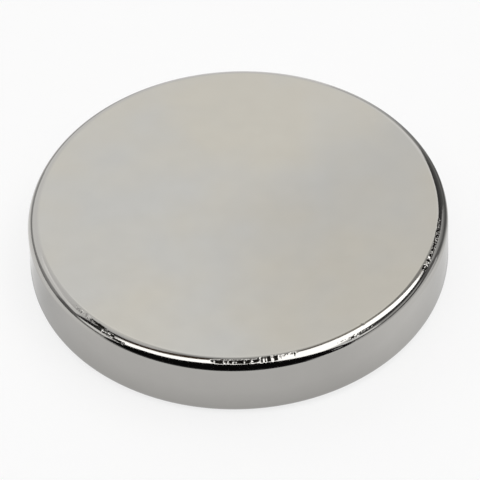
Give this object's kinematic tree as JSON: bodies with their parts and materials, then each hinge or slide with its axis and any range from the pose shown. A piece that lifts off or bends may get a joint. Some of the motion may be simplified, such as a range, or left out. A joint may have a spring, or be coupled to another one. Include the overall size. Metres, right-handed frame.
{
  "type": "disc magnet",
  "caption": "Flat round slug magnet, nickel plated, with rolled edges and light chipping along its upper rim.",
  "frame": {"origin": "centre of the lower flat face", "axes": "+Z along the disc's axis, towards the face with the chipped rim; -Y towards the scored stretch of that rim, the front"},
  "size_m": [0.03, 0.03, 0.005],
  "materials": {
    "nickel_plating": "bright nickel electroplate over tumbled, lightly chipped edges"
  },
  "bodies": {
    "root": {"disc_magnet": "nickel_plating"}
  },
  "joints": []
}
